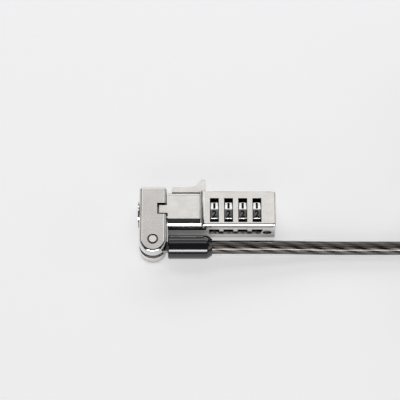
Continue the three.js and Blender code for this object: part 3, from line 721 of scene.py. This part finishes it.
class Wardrobe:
    """Makes each finish's material once and dresses pieces in it."""

    def __init__(self) -> None:
        """Starts with no materials made."""
        self.made: dict[Finish, bpy.types.Material] = {}

    def material(self, finish: Finish) -> bpy.types.Material:
        """A finish's material, made the first time that it is asked for.

        Args:
            finish: the finish.

        Returns:
            Its material.
        """
        if finish not in self.made:
            self.made[finish] = finish.value.material()
        return self.made[finish]

    def dress(self, piece: bpy.types.Object, finish: Finish) -> bpy.types.Object:
        """Gives a new piece its material, and reports it.

        Args:
            piece: the new piece.
            finish: what it is finished in.

        Returns:
            The same piece.
        """
        piece.data.materials.clear()
        piece.data.materials.append(self.material(finish))
        log.info("built %s in %s", piece.name, finish.value.name)
        return piece

    def dress_casting(self, piece: bpy.types.Object, level: Finish = Finish.SATIN) -> bpy.types.Object:
        """Satin on a casting's level faces, and polish on its sides, rounds and edges.

        Args:
            piece: a piece from refined().
            level: the finish of its level faces.

        Returns:
            The same piece.
        """
        indices = np.empty(len(piece.data.polygons), np.int32)
        piece.data.polygons.foreach_get("material_index", indices)
        self.dress(piece, level)
        piece.data.materials.append(self.material(Finish.POLISHED))
        piece.data.polygons.foreach_set("material_index", indices)
        return piece

    def redress(self, node: str, finish: Finish) -> None:
        """Gives a frame node's own object a better material, and reports it.

        Args:
            node: the frame node.
            finish: what it is finished in.
        """
        for holder in frame["nodes"][node].material_slots:
            holder.material = self.material(finish)
        log.info("kept %s in %s", node, finish.value.name)


# ---- sub-assemblies ------------------------------------------------------------------------
@dataclass
class Castings:
    """The housing, its dial cover and its end cap."""

    edge: float = 0.28  # width of the softened edges
    cap_edge: float = 0.45  # the same on the end cap

    def build(self, wardrobe: Wardrobe) -> None:
        """Copies the castings with softened edges and dresses them.

        Args:
            wardrobe: the finishes to dress its pieces in.
        """
        for node, edge in [("housing", self.edge), ("dial_cover", self.edge), ("end_cap", self.cap_edge)]:
            piece = wardrobe.dress_casting(refined(node, edge))
            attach(piece, "housing")


@dataclass
class DialStack:
    """Four ten-sided dials with filled digits."""

    count: int = 4
    facets: int = 10
    radius: float = 5.9
    rim: float = 0.28  # chamfer at each side of the facets
    bore: float = 4.15
    rim_steps: tuple[float, ...] = (0.0, 0.04, 0.15, 0.32, 0.55, 0.78, 1.0)  # shares of the rim
    facet_steps: int = 24
    ridge_inset: float = 0.03  # how far the ridges between facets are rounded down
    ridge_sharpness: float = 60.0
    digit_height: float = 2.9
    digit_depth: float = 0.03
    digit_width: float = 0.9  # the narrowest digit's width
    digit_squeeze: float = 0.92  # of the type's own width
    digit_bold: float = 0.045  # how far the type's outline is spread, of its size
    first_digit: float = 72.0  # degrees from the front to the facet of digit 1

    def build(self, wardrobe: Wardrobe) -> None:
        """Builds each dial and its digits.

        Args:
            wardrobe: the finishes to dress its pieces in.
        """
        for number in range(1, self.count + 1):
            place = joint_place(f"dial_{number}_turn")
            dial = self.dial(number, place)
            wardrobe.dress(dial, Finish.DIAL)
            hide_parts(f"dial_{number}")
            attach(dial, f"dial_{number}")
            digits = wardrobe.dress(self.digits(number, place), Finish.DIGITS)
            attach(digits, f"dial_{number}")

    def rim_radius(self, angle: np.ndarray) -> np.ndarray:
        """The facets' radius at an angle: flat radius over the cosine, with softened ridges.

        A soft minimum with a circle just inside the corners rounds each ridge.

        Args:
            angle: angles round the dial's axis.

        Returns:
            The radius at each.
        """
        step = 2 * np.pi / self.facets
        local = np.mod(angle - np.pi / 2, step) - step / 2
        flat = self.radius * math.cos(step / 2) / np.cos(local)
        sharp = self.ridge_sharpness
        cap = self.radius - self.ridge_inset
        return -np.log(np.exp(-sharp * (flat - cap)) + 1.0) / sharp + cap

    def dial(self, number: int, place: np.ndarray) -> bpy.types.Object:
        """A ring whose section is a box with rounded rims, carried round the ten facets.

        Args:
            number: the dial's number from the left.
            place: a point on its axis.

        Returns:
            The linked object.
        """
        low, high = corners(f"dial_{number}")
        a = np.linspace(0, 2 * np.pi, self.facets * self.facet_steps, endpoint=False) + np.pi / 2
        rim = self.rim_radius(a)
        chamfer = np.array(self.rim_steps) * self.rim
        drop = self.rim - np.sqrt(np.maximum(self.rim**2 - (self.rim - chamfer) ** 2, 0))
        sections = [(low[0], None)]
        sections += [(low[0] + c, d) for c, d in zip(chamfer, drop)]
        sections += [(high[0] - c, d) for c, d in zip(chamfer[::-1], drop[::-1])]
        sections += [(high[0], None)]
        rows = []
        for x, less in sections:
            r = np.full_like(a, self.bore) if less is None else rim - less
            y, z = place[1] + r * np.cos(a), place[2] + r * np.sin(a)
            rows.append(np.stack([np.full_like(a, x), y, z], -1))
        return grid(f"dial_{number}_finished", np.array(rows), wrap_u=True)

    def digits(self, number: int, place: np.ndarray) -> bpy.types.Object:
        """All ten digits of one dial, each lying on its facet and read from the front.

        Args:
            number: the dial's number from the left.
            place: a point on its axis.

        Returns:
            The linked object.
        """
        step = 2 * math.pi / self.facets
        flat = self.radius * math.cos(step / 2)
        work = bmesh.new()
        for digit in range(self.facets):
            outline = bpy.data.curves.new("digit", "FONT")
            outline.body = str(digit)
            outline.size = 1.0
            outline.extrude = 0.01
            outline.resolution_u = 6
            outline.offset = self.digit_bold
            text = bpy.data.objects.new("digit", outline)
            shape = bpy.data.meshes.new_from_object(text)
            points = np.empty(len(shape.vertices) * 3)
            shape.vertices.foreach_get("co", points)
            points = points.reshape(-1, 3)
            points -= (points.max(0) + points.min(0)) / 2
            tall = np.ptp(points[:, 1])
            points[:, :2] *= self.digit_height / tall
            points[:, 0] *= max(self.digit_squeeze, self.digit_width / np.ptp(points[:, 0]))
            lift = np.where(points[:, 2] > 0, self.digit_depth, -self.digit_depth)
            angle = math.radians(self.first_digit) + (digit - 1) * step
            out = np.array([0.0, math.cos(angle), math.sin(angle)])
            up = np.array([0.0, math.sin(angle), -math.cos(angle)])
            right = np.array([1.0, 0.0, 0.0])
            placed = place + points[:, :1] * right + points[:, 1:2] * up + (flat + lift)[:, None] * out
            shape.vertices.foreach_set("co", (placed * MM).ravel())
            work.from_mesh(shape)
            bpy.data.objects.remove(text)
        bmesh.ops.remove_doubles(work, verts=work.verts, dist=DIGIT_WELD)
        bmesh.ops.recalc_face_normals(work, faces=work.faces)
        mesh = bpy.data.meshes.new(f"dial_{number}_digits")
        work.to_mesh(mesh)
        work.free()
        piece = bpy.data.objects.new(f"dial_{number}_digits", mesh)
        bpy.context.collection.objects.link(piece)
        return piece


@dataclass
class Slide:
    """The thumb slide on the back of the neck, with its screw."""

    edge: float = 0.38

    def build(self, wardrobe: Wardrobe) -> None:
        """Copies the slide with softened edges and dresses it.

        Args:
            wardrobe: the finishes to dress its pieces in.
        """
        piece = wardrobe.dress_casting(refined("thumb_slide", self.edge))
        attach(piece, "slide")


@dataclass
class Nose:
    """The yoke, the socket tube's rim and the hinge pin."""

    yoke_edge: float = 0.34  # width of the softened edges
    tube_edge: float = 0.18
    groove: float = 0.3  # width of the step round the pin's flat end
    groove_depth: float = 0.7
    soft: float = 0.12  # rounding of the flat end

    def build(self, wardrobe: Wardrobe) -> None:
        """Copies the yoke and the tube with softened edges, and turns the pin.

        Args:
            wardrobe: the finishes to dress its pieces in.
        """
        for node, edge in [("yoke", self.yoke_edge), ("nose_tube", self.tube_edge)]:
            piece = wardrobe.dress_casting(refined(node, edge), Finish.SATIN_YOKE)
            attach(piece, "housing")
        pin = wardrobe.dress(self.pin(), Finish.SATIN)
        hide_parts("hinge_pin")
        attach(pin, "housing")

    def pin(self) -> bpy.types.Object:
        """A rivet whose flat ends have a narrow step round them.

        Returns:
            The linked object.
        """
        low, high = corners("hinge_pin")
        centre = (low + high) / 2
        radius = (high[0] - low[0]) / 2
        head, soft, step = radius - self.groove, self.soft, self.groove_depth
        half = [(0.5 * head, 0.0), (head - soft - 0.04, 0.0), (head - soft, 0.0),
                (head - 0.3 * soft, 0.3 * soft), (head, soft), (head, step), (radius, step)]
        bottom = [(r, low[2] + z) for r, z in half]
        top = [(r, high[2] - z) for r, z in reversed(half)]
        return turned("hinge_pin_finished", bottom + top, centre, "z", 64, closed=False)


@dataclass
class Fitting:
    """The moulded boot over the crimp where the cable joins the swivelling eye."""

    mouth: float = 0.6  # rounding at the eye's end
    shoulder: float = 2.0  # rounding where the barrel ends
    shoulder_at: float = 2.0  # from the cable's end
    shoulder_drop: float = 0.75
    collar_at: float = 0.8
    collar_drop: float = 1.3
    collar_round: float = 0.9
    cable_bore: float = 3.05
    crimp_bore: float = 3.85
    crimp_stop: float = 3.0  # from the cable's end
    rim_round: float = 0.25
    bore_rounds: tuple[float, float] = (0.1, 0.05)

    def build(self, wardrobe: Wardrobe) -> None:
        """Turns the boot and dresses the eye.

        Args:
            wardrobe: the finishes to dress its pieces in.
        """
        boot = wardrobe.dress(self.boot(), Finish.GLOSS)
        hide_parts("boot")
        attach(boot, "cable")
        wardrobe.redress("cable_eye", Finish.STEEL)

    def boot(self) -> bpy.types.Object:
        """A turned sleeve: a long barrel, a round shoulder and a small collar.

        Returns:
            The linked object.
        """
        low, high = corners("boot")
        centre = (low + high) / 2
        radius = (high[1] - low[1]) / 2
        left, right = low[0], high[0]
        edge, stop = self.bore_rounds
        outline = rounded(
            [(self.crimp_bore, left), (radius, left), (radius, right - self.shoulder_at),
             (radius - self.shoulder_drop, right - self.collar_at), (radius - self.collar_drop, right),
             (self.cable_bore, right), (self.cable_bore, right - self.crimp_stop),
             (self.crimp_bore, right - self.crimp_stop)],
            [edge, self.mouth, self.shoulder, self.collar_round, self.rim_round, edge, stop, stop])
        return turned("boot_finished", [tuple(p) for p in outline], centre, "x", 96)


@dataclass
class SecurityCable:
    """The cable's route, its hank and ties, and the crimped loop at its far end."""

    diameter: float = 5.5
    step: float = 1.6  # between two points of the finished routes
    fold: float = 16.5  # radius of the inner lane's folds
    straight: float = 59.9  # length of the hank's sides
    hank_left: float = 86.0
    line_y: float = -10.29  # where the cable runs in to the hank
    layers: int = 5
    gap: float = 0.3  # kept between neighbours
    strap: float = 1.0  # thickness of the ties
    strap_round: float = 3.2
    strap_edge: float = 0.02  # rounding of a tie's edges, of its width
    ferrule_radius: float = 4.0
    ferrule_length: float = 16.0
    ferrule_flatness: float = 1.55  # its width over its height
    waists: tuple[float, float] = (0.32, 0.68)  # shares of its length
    waist_width: float = 0.07
    waist_depth: float = 0.10
    ferrule_end: float = 0.6  # length of the rounding at its ends
    ferrule_end_depth: float = 0.09
    loop_length: float = 46.0
    loop_half: float = 15.0
    loop_along: tuple[float, ...] = (0.0, 5.0, 12.0, 21.0)  # a strand's way out of the ferrule
    loop_across: tuple[float, ...] = (3.0, 3.4, 7.0, 12.6)
    loop_fall: float = 25.0  # length over which the loop comes down on the hank
    first_points: tuple[tuple[float, float, float], ...] = (
        (-6.0, -11.6, 7.05), (-2, -11.6, 7.05), (2, -11.6, 7.0), (8, -11.53, 6.85),
        (14, -11.37, 6.45), (20, -11.14, 5.85), (26, -10.86, 5.1), (32, -10.6, 4.3), (38, -10.4, 3.55),
        (44, -10.3, 3.0), (50, -10.29, 2.78), (56, -10.29, 2.75), (66, -10.29, 2.75), (76, -10.29, 2.75),
        (86, -10.29, 2.75), (94.2, -10.29, 2.75))
    tail_low: float = math.pi / 2  # where the tail leaves the hank's near fold
    tail_high: float = math.radians(290)
    outer: float = field(init=False)  # radius of the outer lane's folds
    middle_y: float = field(init=False)
    near: float = field(init=False)
    far: float = field(init=False)
    top: float = field(init=False)
    lying: float = field(init=False)  # height of what lies on the ties
    tail_z: float = field(init=False)
    route: np.ndarray = field(init=False)

    def __post_init__(self) -> None:
        """Works out the hank's places and the cable's whole route."""
        self.outer = self.fold + self.diameter
        self.middle_y = self.line_y + self.outer
        self.near = self.hank_left + self.outer + self.diameter / 2
        self.far = self.near + self.straight
        self.top = self.layers * self.diameter
        self.lying = self.top + 2 * self.gap + self.strap + self.diameter / 2
        self.tail_z = self.lying + self.ferrule_radius - self.diameter / 2
        first = smooth_through(np.array(self.first_points, float))
        whole = np.vstack([first, self.hank(), self.tail()])
        self.route = respaced(whole, self.step) + HEAD_SHIFT

    def run(self, right: bool, lane_from: float, lane_to: float, level: float) -> np.ndarray:
        """A straight side of the hank, with a soft shift from one lane to another.

        Args:
            right: True along the front towards +X, False along the back towards -X.
            lane_from: distance from the hank's middle line at the start.
            lane_to: the same at the end.
            level: the layer's height.

        Returns:
            Points of the middle line.
        """
        t = np.linspace(0, 1, 24, endpoint=False)
        lane = lane_from + (lane_to - lane_from) * (0.5 - 0.5 * np.cos(np.pi * t))
        x = self.near + self.straight * t if right else self.far - self.straight * t
        y = self.middle_y - lane if right else self.middle_y + lane
        return np.stack([x, y, np.full_like(t, level)], -1)

    def turn(self, right: bool, lane: float, low: float, high: float) -> np.ndarray:
        """A half-round fold at one end, rising softly from one height to another.

        Args:
            right: True at the far end, False at the near one.
            lane: the fold's radius.
            low: height at its start.
            high: height at its end.

        Returns:
            Points of the middle line.
        """
        t = np.linspace(0, 1, 30, endpoint=False)
        a = (-np.pi / 2 if right else np.pi / 2) + np.pi * t
        x = (self.far if right else self.near) + lane * np.cos(a)
        z = low + (high - low) * (0.5 - 0.5 * np.cos(np.pi * t))
        return np.stack([x, self.middle_y + lane * np.sin(a), z], -1)

    def hank(self) -> np.ndarray:
        """Three laps for every two layers: in along the outer lane, up on the inner one, out and up.

        The outer lap shifts inwards along the back, the inner one rises on the far fold, and
        the next shifts outwards along the front and rises on the near fold.

        Returns:
            Points of the middle line.
        """
        outer, inner = self.outer, self.fold
        parts = []
        for pair in range(self.layers // 2):
            low = self.diameter * (2 * pair + 0.5)
            high = low + self.diameter
            parts += [
                self.run(True, outer, outer, low), self.turn(True, outer, low, low),
                self.run(False, outer, inner, low), self.turn(False, inner, low, low),
                self.run(True, inner, inner, low), self.turn(True, inner, low, high),
                self.run(False, inner, inner, high), self.turn(False, inner, high, high),
                self.run(True, inner, outer, high), self.turn(True, outer, high, high),
                self.run(False, outer, outer, high), self.turn(False, outer, high, high + self.diameter),
            ]
        last = self.diameter * (self.layers - 0.5)
        parts += [self.run(True, outer, outer, last), self.turn(True, outer, last, last),
                  self.run(False, outer, inner, last)]
        return np.vstack(parts)

    def tail(self) -> np.ndarray:
        """The end of the cable, which rises round the near fold to the ferrule.

        Returns:
            Points of the middle line.
        """
        t = np.linspace(0, 1, 40)
        a = self.tail_low + (self.tail_high - self.tail_low) * t
        low = self.top - self.diameter / 2
        z = low + (self.tail_z - low) * (0.5 - 0.5 * np.cos(np.pi * t))
        x, y = self.near + self.fold * np.cos(a), self.middle_y + self.fold * np.sin(a)
        return np.stack([x, y, z], -1)

    def from_tail(self, along: np.ndarray, across: np.ndarray, z: np.ndarray) -> np.ndarray:
        """Places measured along and across the ferrule's heading, from the cable's end.

        Args:
            along: millimetres along the heading.
            across: millimetres to its left.
            z: heights.

        Returns:
            The places in the row frame.
        """
        heading = self.tail_high + math.pi / 2 - 2 * math.pi
        end = self.tail()[-1]
        c, s = math.cos(heading), math.sin(heading)
        x, y = end[0] + along * c - across * s, end[1] + along * s + across * c
        return np.stack([x, y, z], -1) + HEAD_SHIFT

    def build(self, wardrobe: Wardrobe) -> None:
        """Args:
            wardrobe: the finishes to dress its pieces in.
        """
        cable = wardrobe.dress(tube("cable_finished", self.route, self.diameter / 2), Finish.CABLE)
        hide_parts("cable", "cable_hank", "cable_tail")
        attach(cable, "cable")
        loop = wardrobe.dress(self.loop(), Finish.CABLE)
        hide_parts("end_loop")
        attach(loop, "cable")
        ferrule = wardrobe.dress(self.ferrule(), Finish.STEEL)
        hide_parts("loop_ferrule")
        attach(ferrule, "cable")
        ties = [wardrobe.dress(self.tie(k), Finish.STRAP) for k in (1, 2)]
        for k, tie in enumerate(ties, 1):
            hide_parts(f"cable_tie_{k}")
            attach(tie, "cable")

    def loop(self) -> bpy.types.Object:
        """The end loop: two strands side by side that open into a round eye.

        Returns:
            The linked object.
        """
        start = self.ferrule_length + 4 * self.gap
        slope = (self.lying - self.tail_z) / self.loop_fall
        along = np.array(self.loop_along)
        across = np.array(self.loop_across)
        side = [self.from_tail(start + along, sign * across, self.tail_z + slope * along)
                for sign in (-1, 1)]
        a = np.linspace(-np.pi / 2, np.pi / 2, 7)
        centre = start + self.loop_length - self.loop_half
        bend = self.from_tail(centre + self.loop_half * np.cos(a), self.loop_half * np.sin(a),
                              np.full_like(a, self.lying))
        path = respaced(smooth_through(np.vstack([side[0], bend, side[1][::-1]]), 16), self.step)
        return tube("end_loop_finished", path, self.diameter / 2)

    def ferrule(self) -> bpy.types.Object:
        """A pressed oval sleeve with two crimped waists.

        The section is an ellipse whose size dips along the length by a pair of soft notches.

        Returns:
            The linked object.
        """
        t = np.linspace(0, 1, 49)
        along = self.ferrule_length * t + 2 * self.gap
        size = np.ones_like(t)
        for waist in self.waists:
            size -= self.waist_depth * np.exp(-((t - waist) / self.waist_width) ** 2)
        edge = np.minimum(t, 1 - t) * self.ferrule_length
        size *= 1 - self.ferrule_end_depth * np.clip(1 - edge / self.ferrule_end, 0, 1) ** 2
        a = np.linspace(0, 2 * np.pi, 56, endpoint=False)
        across = size[:, None] * self.ferrule_radius * self.ferrule_flatness * np.cos(a)
        height = self.tail_z + size[:, None] * self.ferrule_radius * np.sin(a)
        return grid("loop_ferrule_finished",
                    self.from_tail(np.broadcast_to(along[:, None], across.shape), across, height), caps=True)

    def tie(self, number: int) -> bpy.types.Object:
        """A strap: a thin rounded band section carried round one side of the hank.

        Args:
            number: 1 or 2.

        Returns:
            The linked object.
        """
        low, high = corners(f"cable_tie_{number}")
        outer = rounded([(low[1], low[2]), (high[1], low[2]), (high[1], high[2]), (low[1], high[2])],
                        [self.strap_round] * 4)
        centre = (low[1:] + high[1:]) / 2
        shrink = (high[1:] - low[1:] - 2 * self.strap) / (high[1:] - low[1:])
        inner = centre + (outer - centre) * shrink
        width = high[0] - low[0]
        left = [(0.0, self.strap_edge), (0.25, 0.0), (0.75, 0.0), (1.0, self.strap_edge)]
        right = [(share, 1.0 - x) for share, x in reversed(left)]
        rows = []
        for share, x in left + right:
            ring = inner + (outer - inner) * share
            rows.append(np.column_stack([np.full(len(ring), low[0] + width * x), ring]))
        return grid(f"cable_tie_{number}_finished", np.array(rows), wrap_u=True)


@dataclass
class Works:
    """The pieces inside the lock and its small fasteners, which keep their frame shapes."""

    steel: tuple[str, ...] = (
        "spindle", "carriage", "slide_screw", "retaining_ring", "return_spring", "reset_screw",
        "locking_ball_1", "locking_ball_2", "locking_ball_3",
        "detent_leaf_1", "detent_leaf_2", "detent_leaf_3", "detent_leaf_4",
        "cover_screw_1", "cover_screw_2", "cover_screw_3")
    brass: tuple[str, ...] = (
        "locking_sleeve", "code_sleeve_1", "code_sleeve_2", "code_sleeve_3", "code_sleeve_4")

    def build(self, wardrobe: Wardrobe) -> None:
        """Gives each inner piece its metal.

        Args:
            wardrobe: the finishes to dress its pieces in.
        """
        for node in self.steel:
            wardrobe.redress(node, Finish.STEEL)
        for node in self.brass:
            wardrobe.redress(node, Finish.BRASS)


@dataclass(frozen=True)
class Lamp:
    """A soft rectangular lamp that faces the lock."""

    name: str
    lean: float  # degrees from straight up towards the back
    distance: float  # metres from the lock
    size: tuple[float, float]  # width and height in metres
    radiance: float  # how bright its face looks
    turn: float = 0.0  # degrees that it is then carried round the vertical
    spares_table: bool = False  # its light only falls on the lock

    def build(self, sheet: bpy.types.Object) -> None:
        """Hangs the lamp.

        Args:
            sheet: the table that a sparing lamp leaves out.
        """
        data = bpy.data.lights.new(self.name, "AREA")
        data.shape = "RECTANGLE"
        data.size, data.size_y = self.size
        data.energy = self.radiance * math.pi * self.size[0] * self.size[1]
        lamp = bpy.data.objects.new(self.name, data)
        bpy.context.collection.objects.link(lamp)
        tilt, around = math.radians(self.lean), math.radians(self.turn)
        lamp.location = self.distance * np.array([-math.sin(tilt) * math.sin(around),
                                                  math.sin(tilt) * math.cos(around), math.cos(tilt)])
        lamp.rotation_euler = (-tilt, 0.0, around)
        if self.spares_table:
            spared = bpy.data.collections.new(f"{self.name}_spares")
            spared.objects.link(sheet)
            spared.collection_objects[0].light_linking.link_state = "EXCLUDE"
            lamp.light_linking.receiver_collection = spared


@dataclass
class Studio:
    """The pale table, the soft lights and the camera."""

    elevation: float = 66.5  # degrees that the camera looks down by
    distance: float = 0.889  # metres
    lens: float = 200.0
    sensor: float = 36.0
    aim: tuple[float, float, float] = (-3.0, 9.0, 6.6)
    table_half: float = 3000.0
    table_glow: float = 0.50
    table_tints: tuple[tuple[float, float, float], ...] = ((0.90, 0.90, 0.91), (0.92, 0.92, 0.93))
    room_glow: float = 0.045
    room_tint: tuple[float, float, float] = (0.95, 0.97, 1.0)
    lamps: tuple[Lamp, ...] = (
        Lamp("top_box", 27.0, 1.5, (1.5, 0.50), 1.08),
        Lamp("back_box", 60.0, 1.5, (2.2, 0.60), 1.7),
        Lamp("front_box", -60.0, 1.4, (2.4, 0.70), 0.9),
        Lamp("front_strip", -56.0, 1.38, (1.8, 0.42), 10.5, spares_table=True),
        Lamp("left_box", 70.0, 1.4, (1.5, 0.36), 1.1, turn=90.0),
        Lamp("right_box", 70.0, 1.4, (1.5, 0.36), 1.1, turn=-90.0))

    def build(self) -> None:
        """Sets the camera, the table, the lights and the room's own glow."""
        self.camera()
        sheet = self.table()
        for lamp in self.lamps:
            lamp.build(sheet)
        self.room()

    def camera(self) -> None:
        """A long lens that looks down at the lock from the front."""
        data = bpy.data.cameras.new("camera")
        data.lens = self.lens
        data.sensor_width = self.sensor
        data.clip_start = 0.01
        lens = bpy.data.objects.new("camera", data)
        bpy.context.collection.objects.link(lens)
        tilt = math.radians(self.elevation)
        aim = (np.array(self.aim) + HEAD_SHIFT) * MM
        lens.location = aim + self.distance * np.array([0.0, -math.cos(tilt), math.sin(tilt)])
        lens.rotation_euler = (math.pi / 2 - tilt, 0.0, 0.0)
        bpy.context.scene.camera = lens

    def table(self) -> bpy.types.Object:
        """A large pale sheet under the lock, with a faint glow of its own.

        Returns:
            The linked object.
        """
        half = self.table_half
        points = np.array([(-half, -half, 0), (half, -half, 0), (half, half, 0), (-half, half, 0)], float)
        sheet = write_mesh("table", points, [np.array([[0, 1, 2, 3]])])
        bench = Bench("table_paper")
        tooth = bench.noise(bench.place(), 900.0, 3.0, 0.6)
        colour = bench.blend(tooth, *self.table_tints)
        paper = bench.surface(Base_Color=colour, Roughness=0.55, Emission_Color=(1.0, 1.0, 1.01),
                              Emission_Strength=self.table_glow)
        sheet.data.materials.append(paper)
        return sheet

    def room(self) -> None:
        """An even grey glow all round, and a view without a film curve."""
        world = bpy.data.worlds.new("room")
        world.use_nodes = True
        glow = world.node_tree.nodes["Background"]
        glow.inputs["Color"].default_value = (*self.room_tint, 1.0)
        glow.inputs["Strength"].default_value = self.room_glow
        bpy.context.scene.world = world
        bpy.context.scene.view_settings.view_transform = "Standard"


def main() -> None:
    """Builds the studio and each sub-assembly in order."""
    logging.basicConfig(level=logging.INFO)
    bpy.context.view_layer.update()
    Studio().build()
    wardrobe = Wardrobe()
    for assembly in (SecurityCable(), Fitting(), Castings(), DialStack(), Slide(), Nose(), Works()):
        assembly.build(wardrobe)
        log.info("%s done", type(assembly).__name__)


if __name__ == "__main__":
    main()
